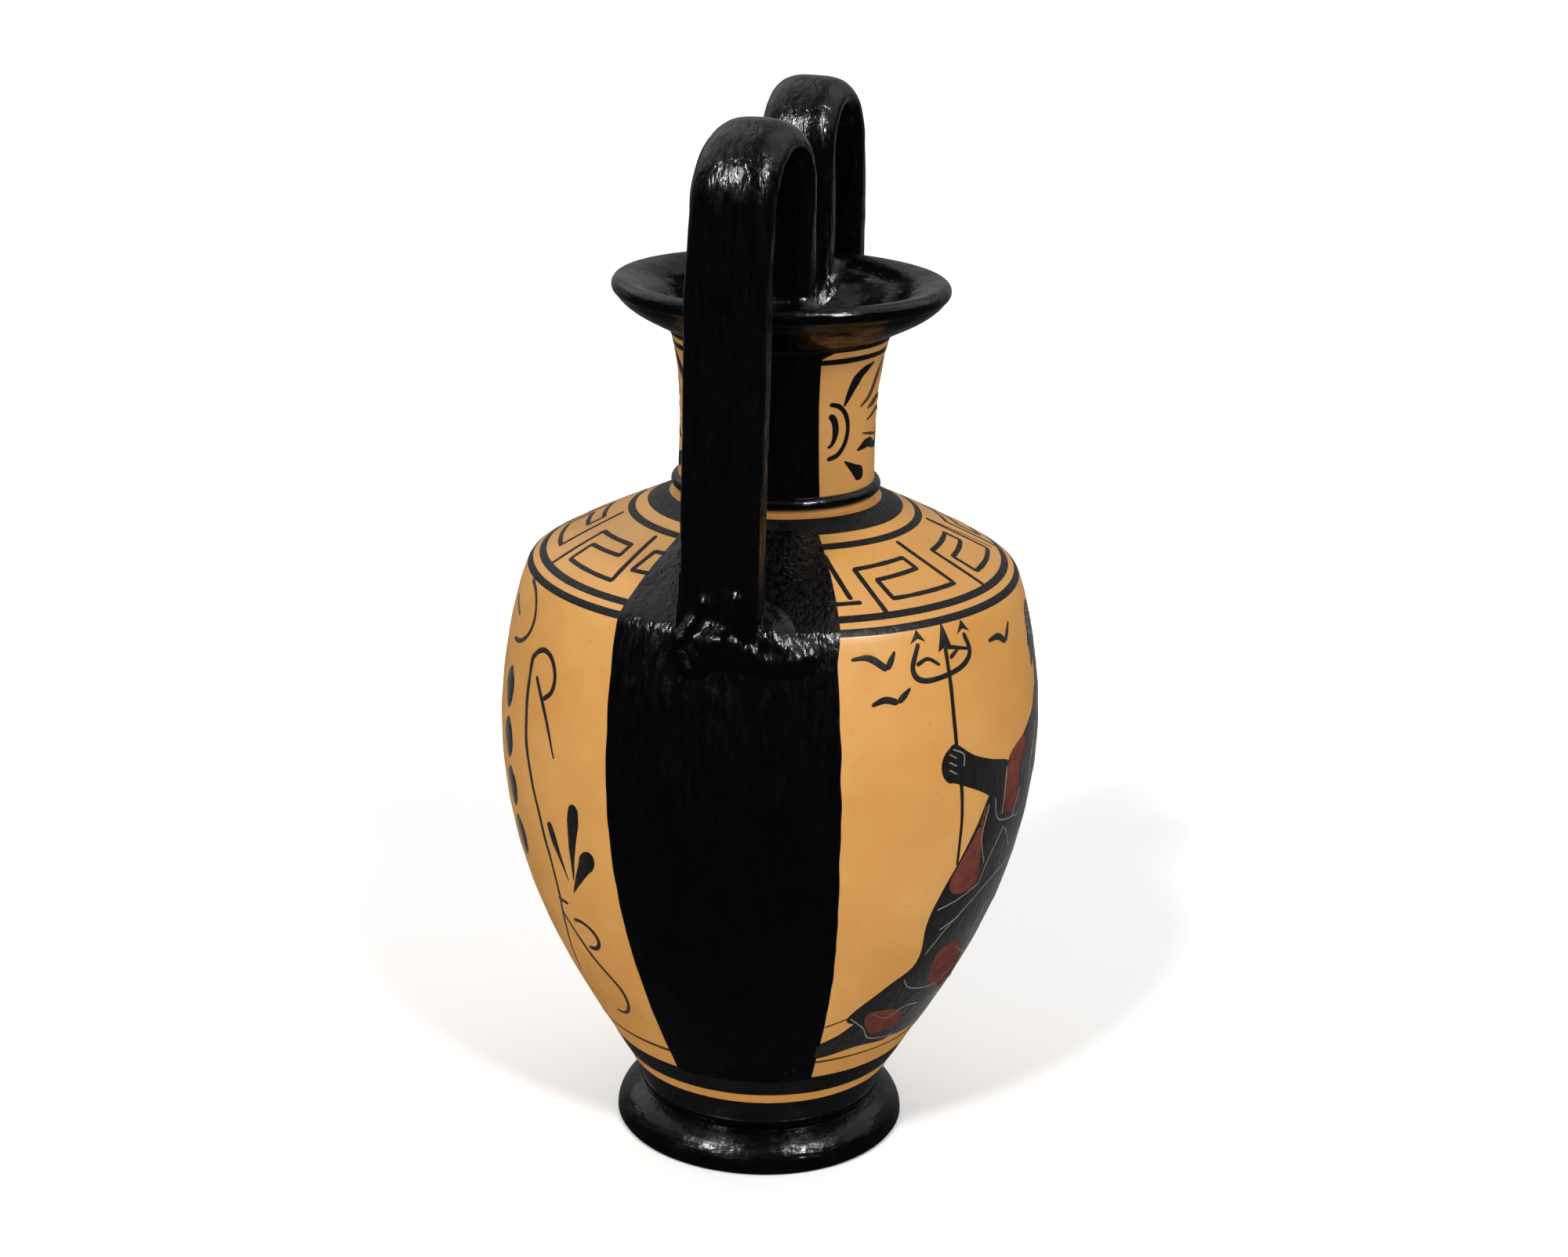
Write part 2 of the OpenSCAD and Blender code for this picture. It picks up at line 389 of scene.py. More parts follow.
class Surface:
    """The outer face of a thrown piece, which the decoration is laid on."""

    def __init__(self, line, place):
        self.line = line
        self.place = place

    def at(self, azimuth, h, lift=0.0):
        """Points in mm at azimuths and places, raised along the face's normal."""
        azimuth, h = np.broadcast_arrays(np.asarray(azimuth, float), np.asarray(h, float))
        r, z = self.radius_height(h)
        tr, tz = self.tangent(h)
        r = r + tz * lift
        z = z - tr * lift
        a = np.radians(azimuth)
        r = r + wobble(azimuth, z)
        return np.stack([r * np.sin(a), -r * np.cos(a), z], -1)

    def radius_height(self, h):
        return np.interp(h, self.place, self.line[:, 0]), np.interp(h, self.place, self.line[:, 1])

    def tangent(self, h, step=0.4):
        r0, z0 = self.radius_height(h - step)
        r1, z1 = self.radius_height(h + step)
        length = np.hypot(r1 - r0, z1 - z0) + 1e-9
        return (r1 - r0) / length, (z1 - z0) / length

    def scale(self, h):
        """Millimetres per degree of azimuth, and per unit of place, at h."""
        r, _ = self.radius_height(h)
        r0, z0 = self.radius_height(h - 0.5)
        r1, z1 = self.radius_height(h + 0.5)
        return r * math.pi / 180, np.maximum(np.hypot(r1 - r0, z1 - z0), 0.3)


def wobble(azimuth, z):
    """How far the hand-thrown wall strays from its true radius, in mm."""
    a = np.radians(azimuth)
    slow = 0.16 * np.sin(2 * a + 0.8 + z * 0.011) + 0.09 * np.sin(3 * a - 1.1 - z * 0.02)
    fine = 0.05 * np.sin(5 * a + z * 0.06) + 0.035 * np.sin(z * 0.55 + 0.7 * np.sin(a))
    return slow + fine


def belly_surface():
    line = eased(np.vstack([BELLY_LINE, SHOULDER_LINE]), 3.0)
    place = np.where(np.arange(len(line)) <= np.argmin(abs(line[:, 1] - EDGE_Z) + (line[:, 0] < 61) * 99),
                     line[:, 1], EDGE_Z + EDGE_R - line[:, 0])
    return Surface(line, np.maximum.accumulate(place + np.arange(len(line)) * 1e-7))


BELLY = belly_surface()
NECK = Surface(NECK_LINE, NECK_LINE[:, 1])


# ---- mesh helpers ----

def mesh_object(name, verts, faces, material, replaced=()):
    """A piece of the jar from points in mm."""
    data = bpy.data.meshes.new(name)
    data.from_pydata([tuple(v) for v in np.asarray(verts) * MM], [], faces)
    piece = bpy.data.objects.new(name, data)
    bpy.context.scene.collection.objects.link(piece)
    finish_mesh(piece)
    data.materials.append(material)
    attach(piece, "root")
    if replaced:
        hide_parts(*replaced)
    return piece


def finish_mesh(piece, sharp_angle=38.0):
    """Faces out, smooth shading, and creases kept sharp."""
    mesh = bmesh.new()
    mesh.from_mesh(piece.data)
    bmesh.ops.recalc_face_normals(mesh, faces=mesh.faces)
    for face in mesh.faces:
        face.smooth = True
    limit = math.radians(sharp_angle)
    for edge in mesh.edges:
        edge.smooth = len(edge.link_faces) == 2 and edge.calc_face_angle(0.0) < limit
    mesh.to_mesh(piece.data)
    mesh.free()


def grid_faces(rows, columns, closed=True, looped=False):
    """Quads between rows of points; closed joins a row's ends, and looped joins the last row to the first."""
    faces = []
    for k in range(rows if looped else rows - 1):
        row, next_row = k * columns, (k + 1) % rows * columns
        for i in range(columns if closed else columns - 1):
            j = (i + 1) % columns
            faces.append((row + i, row + j, next_row + j, next_row + i))
    return faces


def end_faces(rows, columns):
    """The caps on the first and the last row of a tube."""
    return [tuple(range(columns)), tuple(range((rows - 1) * columns, rows * columns))]


ROUND = 288


def revolve(section, segments=ROUND):
    """A closed turned solid from a section of (radius, height) points; points on the axis become poles."""
    verts, rings, faces = [], [], []
    azimuth = np.arange(segments) * 360.0 / segments
    a = np.radians(azimuth)
    for r, z in section:
        if r < 1e-6:
            rings.append([len(verts)])
            verts.append((0.0, 0.0, z))
            continue
        rr = r + wobble(azimuth, np.full(segments, z)) * min(1.0, r / 20.0)
        rings.append(range(len(verts), len(verts) + segments))
        verts.extend(zip(rr * np.sin(a), -rr * np.cos(a), np.full(segments, z)))
    closed = section[0][0] >= 1e-6
    pairs = list(zip(rings, rings[1:])) + ([(rings[-1], rings[0])] if closed else [])
    for low, high in pairs:
        for i in range(segments):
            j = (i + 1) % segments
            if len(low) == 1:
                faces.append((low[0], high[j], high[i]))
            elif len(high) == 1:
                faces.append((low[i], low[j], high[0]))
            else:
                faces.append((low[i], low[j], high[j], high[i]))
    return verts, faces


def inset_line(line, depth):
    """line moved towards the axis side by depth."""
    step = np.gradient(line, axis=0)
    step /= np.linalg.norm(step, axis=1)[:, None] + 1e-9
    return np.stack([line[:, 0] - step[:, 1] * depth, line[:, 1] + step[:, 0] * depth], -1)


def thin_out(line, step=1.2):
    """Every point of line that is at least a step from the last one kept."""
    kept = [line[0]]
    for point in line[1:-1]:
        if np.linalg.norm(point - kept[-1]) >= step:
            kept.append(point)
    return np.array(kept + [line[-1]])


# ---- painted slip ----

SUNK = -0.15
BAND_LIFT, LINE_LIFT, FILL_LIFT, PANEL_LIFT = 0.08, 0.11, 0.10, 0.13
OVER_LIFT, RED_LIFT, PALE_LIFT = 0.15, 0.18, 0.22


def smooth_line(points, closed=False, steps=10):
    """A smooth line through points."""
    p = np.asarray(points, float)
    if closed:
        p = np.vstack([p[-1], p, p[:2]])
    else:
        p = np.vstack([2 * p[0] - p[1], p, 2 * p[-1] - p[-2]])
    t = np.linspace(0, 1, steps, endpoint=False)[:, None]
    spans = []
    for a, b, c, d in zip(p, p[1:], p[2:], p[3:]):
        spans.append(b + 0.5 * t * (c - a + t * (2 * a - 5 * b + 4 * c - d + t * (3 * b - a - 3 * c + d))))
    return np.vstack(spans if closed else spans + [p[-2:-1]])


class Slip:
    """Slip of one colour: thin closed shapes laid on the outside of a thrown piece."""

    STEP = 0.5

    def __init__(self):
        self.verts = []
        self.faces = []
        self.count = 0

    def add(self, verts, faces):
        self.verts.append(verts)
        self.faces.extend(tuple(self.count + i for i in face) for face in faces)
        self.count += len(verts)

    def shell(self, surface, places, faces, lifts):
        """A closed sheet over faces between places; its rim is pressed down to half its height."""
        sides = {}
        for face in faces:
            for a, b in zip(face, face[1:] + face[:1]):
                sides.setdefault((min(a, b), max(a, b)), []).append((a, b))
        rim = [pairs[0] for pairs in sides.values() if len(pairs) == 1]
        lifts = np.broadcast_to(np.asarray(lifts, float), len(places)).copy()
        edge = sorted({i for pair in rim for i in pair})
        lifts[edge] *= 0.5
        used = sorted({i for face in faces for i in face})
        index = {i: k for k, i in enumerate(used)}
        count = len(used)
        top_points = surface.at(places[used, 0], places[used, 1], lifts[used])
        low_points = surface.at(places[used, 0], places[used, 1], np.full(count, 2 * SUNK))
        made = [tuple(index[i] for i in face) for face in faces]
        made += [tuple(index[i] + count for i in reversed(face)) for face in faces]
        made += [(index[b], index[a], index[a] + count, index[b] + count) for a, b in rim]
        self.add(np.vstack([top_points, low_points]), made)

    def stroke(self, surface, points, width, lift=LINE_LIFT, cornered=False):
        """A brush stroke along points, of one width or a list of widths from its start to its end."""
        line = np.asarray(points, float) if cornered or len(points) < 3 else smooth_line(points)
        solid = surface.at(line[:, 0], line[:, 1])
        along = np.concatenate([[0], np.cumsum(np.linalg.norm(np.diff(solid, axis=0), axis=1))])
        length = along[-1]
        inner = np.linspace(0, length, max(4, int(length / self.STEP)))
        tip = np.array([0.04, 0.12, 0.25])
        where = np.unique(np.concatenate([inner, tip, length - tip]))
        azimuth = np.interp(where, along, line[:, 0])
        h = np.interp(where, along, line[:, 1])
        per_degree, per_place = surface.scale(h)
        da, dh = np.gradient(azimuth, where) * per_degree, np.gradient(h, where) * per_place
        norm = np.hypot(da, dh) + 1e-9
        side_a, side_h = -dh / norm / per_degree, da / norm / per_place
        widths = np.atleast_1d(width)
        half = 0.5 * np.interp(where / length, np.linspace(0, 1, len(widths)), widths)
        for k, s in enumerate(where):
            half[k] *= 1 + 0.16 * noise.noise(Vector((s / 4.0, points[0][0], points[0][1])))
        near = np.clip(np.minimum(where, length - where) / np.maximum(half, 0.2), 0, 1)
        half *= np.sqrt(np.clip(1 - (1 - near) ** 2, 0.03, 1))
        rings = []
        for across, height in ((-1, SUNK), (-0.88, 0.6 * lift), (0, lift), (0.88, 0.6 * lift), (1, SUNK)):
            rings.append(surface.at(azimuth + across * half * side_a, h + across * half * side_h,
                                    np.full(len(h), height)))
        verts = np.stack(rings, 1).reshape(-1, 3)
        self.add(verts, grid_faces(len(where), len(rings)) + end_faces(len(where), len(rings)))

    def strokes(self, surface, lines, width, lift=LINE_LIFT):
        for line in lines:
            self.stroke(surface, line, width, lift)

    def fill(self, surface, outline, lift=FILL_LIFT, cornered=False):
        """A filled shape inside an outline, cut finely enough to follow the surface."""
        line = np.asarray(outline, float) if cornered else smooth_line(outline, closed=True, steps=6)
        mesh = bmesh.new()
        corners = [mesh.verts.new((a, h, 0)) for a, h in line]
        for triangle in geometry.tessellate_polygon([[Vector((a, h, 0)) for a, h in line]]):
            mesh.faces.new([corners[i] for i in triangle])
        cuts = [((a, 0, 0), (1, 0, 0)) for a in np.arange(line[:, 0].min() + 1.3, line[:, 0].max(), 1.7)]
        cuts += [((0, h, 0), (0, 1, 0)) for h in np.arange(line[:, 1].min() + 1.3, line[:, 1].max(), 2.0)]
        for place, normal in cuts:
            everything = mesh.verts[:] + mesh.edges[:] + mesh.faces[:]
            bmesh.ops.bisect_plane(mesh, geom=everything, plane_co=place, plane_no=normal, dist=1e-4)
        mesh.verts.index_update()
        places = np.array([v.co[:2] for v in mesh.verts])
        faces = [tuple(v.index for v in face.verts) for face in mesh.faces]
        mesh.free()
        self.shell(surface, places, faces, lift)

    def drop(self, surface, tip, bulb, radius, lift=LINE_LIFT):
        """A leaf or tear that swells from its tip to a round end."""
        middle = (np.array(tip) + np.array(bulb)) / 2
        widths = [0.3, 0.7 * radius, 1.3 * radius, 2 * radius, 1.7 * radius]
        self.stroke(surface, [tip, middle, bulb], widths, lift)

    def sheet(self, surface, left, right, low, high, lift):
        """A sheet between two side edges, each given as (azimuth, place) points going up."""
        heights = np.linspace(low, high, int((high - low) / 1.2) + 2)
        left, right = np.array(left, float), np.array(right, float)
        columns = 40
        grid = []
        for h in heights:
            a = np.interp(h, left[:, 1], left[:, 0]) + 0.25 * noise.noise(Vector((h / 7.0, 1, 0)))
            b = np.interp(h, right[:, 1], right[:, 0]) + 0.25 * noise.noise(Vector((h / 7.0, 5, 0)))
            grid.extend((x, h) for x in np.linspace(a, b, columns))
        self.shell(surface, np.array(grid), grid_faces(len(heights), columns, closed=False), lift)

    def band(self, surface, low, high, lift=BAND_LIFT, waver=0.12):
        """A band all round, with edges that waver a little as a brush on a slow wheel does."""
        rows = max(3, int((high - low) / 1.1) + 2)
        azimuth = np.arange(ROUND) * 360.0 / ROUND - 180
        grid = []
        for k in range(rows):
            for a in azimuth:
                t = math.radians(a)
                shift = noise.noise(Vector((2.2 * math.cos(t), 2.2 * math.sin(t), low + k / rows))) * waver
                grid.append((a, low + (high - low) * k / (rows - 1) + shift))
        self.shell(surface, np.array(grid), grid_faces(rows, ROUND), lift)

    def build(self, name, material, slot, replaced=()):
        return mesh_object(name, np.vstack(self.verts), self.faces, material, replaced)


def mirrored(points, middle=0.0):
    """Points mirrored from side to side about an azimuth."""
    return [(2 * middle - a, h) for a, h in points]


def shifted(points, degrees):
    return [(a + degrees, h) for a, h in points]


def bow(centre, across, up, start, end, count=7):
    """Places along an oval arc; across is in degrees of azimuth and up in mm."""
    angles = np.radians(np.linspace(start, end, count))
    return [(centre[0] + across * math.cos(t), centre[1] + up * math.sin(t)) for t in angles]


def barb(azimuth, tip, length):
    """A notched arrow head that points up."""
    low = tip - length
    return [(azimuth - 2, low), (azimuth, tip), (azimuth + 2, low), (azimuth, low + 1)]


# ---- bands, panels and the key pattern ----
# On the side that the photo shows, the decoration follows places measured in it, simplified.
# The rest is drawn freely.

BANDS = [(FOOT_TOP + 0.3, 19.7), (22.9, 29.3), (156.1, 158.0), (159.6, 161.5), (182, 183.9), (187.0, 192.7)]
KEY_UNIT = [(0, 181), (3, 165), (-19, 165), (-20, 171), (-4, 172), (-5, 176), (-25, 175), (-23, 161)]
KEY_PITCH = 35
KEY_WIDTH = 1.5
FRONT_KEYS = [-27 + KEY_PITCH * k for k in range(4)]
BACK_KEYS = [-127 - KEY_PITCH * k for k in range(5)]


def paint_bands(glaze, brown):
    black = Slip()
    for low, high in BANDS:
        black.band(BELLY, low, high)
    black.build("belly_bands", glaze, "black_glaze")
    neck = Slip()
    neck.band(NECK, 213.2, 214.6)
    neck.band(NECK, 216.2, NECK_TOP, OVER_LIFT)
    neck.build("neck_line", glaze, "black_glaze")
    thin = Slip()
    thin.band(BELLY, 35.0, 35.8, waver=0.5)
    thin.build("ground_line", brown, "painted_clay")


def paint_key_pattern(glaze):
    keys = Slip()
    for start in FRONT_KEYS + BACK_KEYS:
        keys.stroke(BELLY, shifted(KEY_UNIT, start), KEY_WIDTH, cornered=True)
    keys.stroke(BELLY, [(-60, 180.5), (-57.5, 166)], KEY_WIDTH)
    keys.stroke(BELLY, [(-63.5, 165), (-55, 165)], KEY_WIDTH)
    hook = [(-112, 177), (-120.5, 176.5), (-121.5, 169.5), (-113, 170)]
    keys.stroke(BELLY, hook, KEY_WIDTH, cornered=True)
    keys.build("key_pattern", glaze, "black_glaze")
    dividers = Slip()
    dividers.stroke(BELLY, [(9, 181), (15, 163.5)], 0.5)
    dividers.build("key_dividers", glaze, "black_glaze")


PANEL_LEFT = [(-110, 28), (-110, 60), (-113, 140), (-114, 157), (-119, 190)]
PANEL_RIGHT = [(-59, 28), (-63, 100), (-64, 150), (-58, 190)]
PANEL_LOW, PANEL_HIGH = 28.2, 189.0


NECK_CORNERS = [
    [(-57, 216.8), (-57, 214.5), (-46, 216.8)],
    [(-122, 216.8), (-133, 216.8), (-122, 214.5)],
]


def paint_panels(glaze):
    near = Slip()
    near.sheet(BELLY, PANEL_LEFT, PANEL_RIGHT, PANEL_LOW, PANEL_HIGH, PANEL_LIFT)
    near.build("left_panel", glaze, "black_glaze")
    far = Slip()
    far.sheet(BELLY, mirrored(PANEL_RIGHT), mirrored(PANEL_LEFT), PANEL_LOW, PANEL_HIGH, PANEL_LIFT)
    far.build("right_panel", glaze, "black_glaze")
    for name, turn in (("left_neck_panel", 0.0), ("right_neck_panel", 180.0)):
        neck = Slip()
        left = shifted([(-127, 178), (-124, 217)], turn)
        right = shifted([(-52, 178), (-56, 217)], turn)
        neck.sheet(NECK, left, right, COLLAR_Z + 2.2, NECK_TOP - 0.1, PANEL_LIFT)
        for corner in NECK_CORNERS:
            neck.fill(NECK, shifted(corner, turn), OVER_LIFT, cornered=True)
        neck.build(name, glaze, "black_glaze")


# ---- the neck's palm leaves ----

NECK_LEAVES = [
    ([(-38, 202), (-29, 209), (-16, 212)], [0.6, 2.4, 3.4, 2.4, 0.6]),
    ([(-25, 190), (-12, 191), (1, 189)], [0.6, 2.6, 3.0, 1.2]),
]
NECK_BROWN_LEAVES = [
    ([(-24, 201), (-13, 204), (-2, 212)], [0.5, 2.0, 2.6, 0.6]),
    ([(-16, 200), (0, 202)], [0.5, 2.2, 1.6]),
    ([(-16, 197), (1, 199)], [0.5, 1.4, 1.0]),
    ([(-20, 194), (2, 192)], [0.4, 1.0, 0.6]),
]
NECK_SCROLL = bow((-48, 196), 14, 7, 90, -90)
NECK_COMMA = bow((-48, 196), 5, 4, 90, -90)


def paint_neck(glaze, brown):
    for side, turn in (("front", 0.0), ("back", 180.0)):
        black, thin = Slip(), Slip()
        for flip in (list, mirrored):
            for line, widths in NECK_LEAVES:
                black.stroke(NECK, shifted(flip(line), turn), widths)
            for line, widths in NECK_BROWN_LEAVES:
                thin.stroke(NECK, shifted(flip(line), turn), widths, FILL_LIFT)
            black.stroke(NECK, shifted(flip(NECK_SCROLL), turn), [1.2, 1.5, 1.5, 1.2])
            black.stroke(NECK, shifted(flip(NECK_COMMA), turn), [1.8, 2.1, 0.7])
            tip, bulb = shifted(flip([(-36, 188), (-19, 183)]), turn)
            black.drop(NECK, tip, bulb, 2.2)
        black.build(side + "_neck_palm", glaze, "black_glaze")
        thin.build(side + "_neck_leaves", brown, "painted_clay")


# ---- the back's scrolls ----

BACK_MIDDLE = -180.0
BACK_LINES = [
    (bow((-152, 148), 10, 8, 80, -90), 1.3),
    ([(-159, 149), (-152, 146)], 1.1),
    ([(-136, 136), (-131, 128), (-127, 118)], [1.4, 1.5, 1.1, 0.6]),
    (bow((-134, 137), 5, 6, -70, 180) + [(-138, 119), (-133, 97), (-132, 78), (-140, 52)],
     [1.4, 1.6, 1.5, 1.2, 0.9, 0.8]),
    ([(-133, 77), (-129, 77)], 1.2),
    (bow((-126, 69), 5, 4, 120, -90), 1.3),
    ([(-133, 73), (-127, 63)] + bow((-126, 51), 7, 7, 40, -100), [1.1, 1.3, 1.2, 1.0]),
]
BACK_DROPS = [
    ((-126, 85), (-130, 100), 1.5),
    ((-124, 86), (-121, 108), 2.2),
    ((-125, 82), (-117, 96), 2.6),
]
BACK_OVALS = [(-150 + k, 128 - 13 * k) for k in range(4)]


def paint_back(glaze):
    def flipped(points):
        return mirrored(points, BACK_MIDDLE)

    scrolls = Slip()
    for flip in (list, flipped):
        for line, widths in BACK_LINES:
            scrolls.stroke(BELLY, flip(line), widths)
        for tip, bulb, radius in BACK_DROPS:
            tip, bulb = flip([tip, bulb])
            scrolls.drop(BELLY, tip, bulb, radius)
        for a, h in BACK_OVALS:
            ends = flip([(a, h - 5.5), (a, h + 5.5)])
            scrolls.stroke(BELLY, ends, [3.0, 6.5, 8.0, 7.0, 4.0])
    scrolls.stroke(BELLY, [(BACK_MIDDLE, 138), (BACK_MIDDLE, 152)], [0.6, 3.6, 4.6, 2.0])
    scrolls.stroke(BELLY, [(BACK_MIDDLE, 56), (BACK_MIDDLE, 134)], [1.6, 0.9, 0.9, 1.2])
    for rise in (66, 92, 118):
        leaf = shifted([(0.5, rise), (6, rise + 4), (12, rise + 10)], BACK_MIDDLE)
        for flip in (list, flipped):
            scrolls.stroke(BELLY, flip(leaf), [0.6, 2.2, 2.8, 0.8])
    scrolls.build("back_scrolls", glaze, "black_glaze")


# ---- the front: a robed figure that holds a three-pronged staff, and birds ----

BIRDS = [
    ([(-61, 151), (-57, 151), (-53, 148)], [(-53, 148), (-51, 152)]),
    ([(-57, 140), (-54, 141), (-51, 140)], [(-51, 140), (-48, 143)]),
    ([(-24, 149), (-20, 149), (-17, 147)], [(-17, 147), (-14, 151)]),
]
BIRD_MIDDLE = -4.0
PRONGS = [(-45, 153), (-47, 147), (-44, 144), (-35, 145), (-31, 148), (-32, 153)]
PRONG_TIPS = [barb(-45, 156, 3), barb(-32, 156, 3), barb(-38, 157, 7)]
PRONG_BARS = [
    [(-46, 148), (-43, 149), (-40, 147)],
    [(-38, 151), (-31, 149)],
    [(-37, 148), (-34, 150)],
]
STAFF = [(-38, 151), (-37, 127), (-35, 112), (-34, 94)]
FIST = bow((-37, 122), 4, 5, 270, 90)
ARM = FIST + [(-32, 123), (-26, 120), (-19, 117), (-17, 111), (-22, 108), (-30, 113)]
FINGER_LINES = [[(-39, h), (-37, h - 1.5)] for h in (125, 123, 121)]
THUMB_LINE = [(-38, 126), (-35, 124), (-35, 121)]
ROBE = [
    (-5, 125), (-14, 120), (-25, 112), (-30, 102), (-37, 87), (-39, 78), (-38, 66), (-45, 60), (-54, 51),
    (-48, 47), (-42, 41), (-27, 38), (2, 38), (20, 44), (26, 70), (30, 100), (26, 117), (17, 129), (8, 134),
    (-1, 130),
]
FRONT_FOOT = [(-49, 49), (-55, 45), (-62, 41), (-60, 37), (-46, 39), (-34, 38), (-33, 41), (-44, 43)]
BACK_FOOT = [(8, 42), (16, 43), (26, 40), (27, 37), (6, 37)]
FOLDS = [
    [(-24, 109), (-21, 102), (-10, 99)],
    [(-20, 116), (-20, 103)],
    [(-12, 107), (-14, 100)],
    [(-26, 108), (-27, 99), (-24, 91)],
    [(-18, 99), (-22, 92), (-24, 85)],
    [(-17, 98), (-12, 91)],
    [(-8, 86), (-20, 83), (-31, 75), (-36, 68)],
    [(-24, 85), (-31, 83), (-37, 82)],
    [(-28, 77), (-34, 75)],
    [(-23, 66), (-18, 62), (-10, 58)],
    [(-40, 61), (-36, 57), (-25, 54), (-16, 57)],
    [(-46, 51), (-40, 48), (-34, 50), (-28, 49)],
    [(-53, 51), (-47, 46), (-42, 41), (-27, 38)],
    [(-2, 121), (-5, 112), (-4, 104), (0, 96)],
    [(6, 128), (3, 118), (5, 106), (10, 97), (12, 86)],
    [(14, 124), (18, 115), (17, 104), (20, 94)],
    [(-3, 92), (-6, 84), (-4, 74), (2, 66), (3, 56)],
    [(10, 82), (9, 72), (13, 61), (12, 50)],
    [(22, 88), (19, 77), (21, 66)],
    [(-14, 76), (-16, 68), (-12, 60)],
    [(-20, 47), (-10, 50), (2, 47), (12, 49), (20, 47)],
    [(0, 131), (4, 127), (10, 127.5), (15, 130)],
]
RED_PATCHES = [
    [(-12, 121), (-19, 118), (-20, 109), (-18, 103), (-13, 103), (-13, 114), (-10, 118)],
    [(-27, 108), (-29, 102), (-35, 90), (-32, 85), (-25, 86), (-27, 98)],
    [(-48, 51), (-37, 50), (-32, 44), (-43, 43)],
    [(-31, 66), (-24, 68), (-17, 62), (-12, 54), (-17, 50), (-22, 53), (-29, 57)],
    [(3, 116), (5, 106), (10, 97), (16, 104), (17, 115), (13, 123), (6, 125)],
    [(-4, 74), (2, 66), (3, 56), (11, 52), (12, 62), (9, 73), (4, 82)],
]
FOLD_WIDTH = 0.42
HEAD_AZIMUTH, HEAD_PLACE = 2.0, 143.0
HEAD = [
    (1.5, 8), (-2.5, 7.2), (-4.9, 4.6), (-5.3, 2.2), (-5.2, 1.6), (-6.9, -1.2), (-5.8, -2), (-6, -2.9),
    (-5.5, -3.4), (-5.8, -4), (-5.2, -4.8), (-5.6, -6.2), (-4.6, -7.4), (-1.5, -5.8), (-2, -14.5),
    (6.5, -14), (4.4, -4.5), (6.3, 0), (6, 4), (4, 7),
]
HEAD_LINES = [
    [(-4.4, 1.2), (-3.4, 1.7), (-2.3, 1.1), (-3.4, 0.7), (-4.4, 1.2)],
    [(-4.6, 2.8), (-3.2, 3.3), (-1.9, 2.9)],
    [(-5.4, -3.4), (-4.4, -3.3)],
    [(0.6, 1.2), (1.5, 0.9), (1.3, -0.6), (0.6, -0.9)],
    [(-4.2, 5.2), (0, 4), (3.4, 2.2), (6.1, 1.2)],
    [(-3.4, 6.4), (0.6, 5.4), (4.2, 3.8), (6.2, 2.9)],
    [(1.2, -2.2), (0.4, -4.4), (-0.8, -5.8)],
    [(-1.4, -9.4), (1.8, -10), (5, -9.4)],
]


def on_head(points):
    """Points in mm about the head's middle as places on the belly."""
    per_degree, _ = BELLY.scale(HEAD_PLACE)
    return [(HEAD_AZIMUTH + x / float(per_degree), HEAD_PLACE + y) for x, y in points]


def paint_front(glaze, red, pale, brown):
    figure = Slip()
    figure.fill(BELLY, ROBE)
    for outline in (ARM, FRONT_FOOT, BACK_FOOT, on_head(HEAD)):
        figure.fill(BELLY, outline, LINE_LIFT)
    figure.build("painted_figure", glaze, "black_glaze")
    staff = Slip()
    staff.stroke(BELLY, STAFF, [1.2, 1.3, 1.2, 0.9])
    staff.stroke(BELLY, PRONGS, [1.4, 1.6, 1.4, 1.6, 1.4])
    for tip in PRONG_TIPS:
        staff.fill(BELLY, tip, OVER_LIFT, cornered=True)
    staff.strokes(BELLY, PRONG_BARS, [1.3, 0.8], OVER_LIFT)
    staff.build("painted_staff", glaze, "black_glaze")
    birds = Slip()
    for wings in BIRDS + [[mirrored(wing, BIRD_MIDDLE) for wing in bird] for bird in BIRDS[:2]]:
        birds.stroke(BELLY, wings[0], [0.9, 1.9, 1.9])
        birds.stroke(BELLY, wings[1], [1.7, 1.7, 0.7])
    birds.build("painted_birds", glaze, "black_glaze")
    folds = Slip()
    head_lines = [on_head(line) for line in HEAD_LINES]
    folds.strokes(BELLY, FOLDS + FINGER_LINES + [THUMB_LINE] + head_lines, FOLD_WIDTH, PALE_LIFT)
    folds.build("fold_lines", pale, "painted_clay")
    patches = Slip()
    for outline in RED_PATCHES:
        patches.fill(BELLY, outline, RED_LIFT)
    patches.build("red_cloth", red, "painted_clay")
    thin = Slip()
    thin.stroke(BELLY, [(-54, 51), (-60, 49)], 0.6)
    thin.build("robe_tail", brown, "painted_clay")


# ---- the thrown pieces ----

def make_body(clay):
    outer = thin_out(BELLY.line)
    inner = inset_line(BELLY.line, WALL)
    inner = inner[(inner[:, 0] > THROAT_R) & (inner[:, 1] > FOOT_TOP + WALL + 1)]
    inner = thin_out(inner, 2.5)[::-1]
    floor_z = FOOT_TOP + WALL + 1
    section = np.vstack([
        [(0, FOOT_TOP), (BASE_R * 0.5, FOOT_TOP)], outer,
        [(THROAT_R, COLLAR_Z), (THROAT_R, COLLAR_Z - 3)], inner,
        [(inner[-1][0] - 2, floor_z), (10, floor_z), (0, floor_z)],
    ])
    verts, faces = revolve(section)
    return mesh_object("jar_body", verts, faces, clay, ["body"])


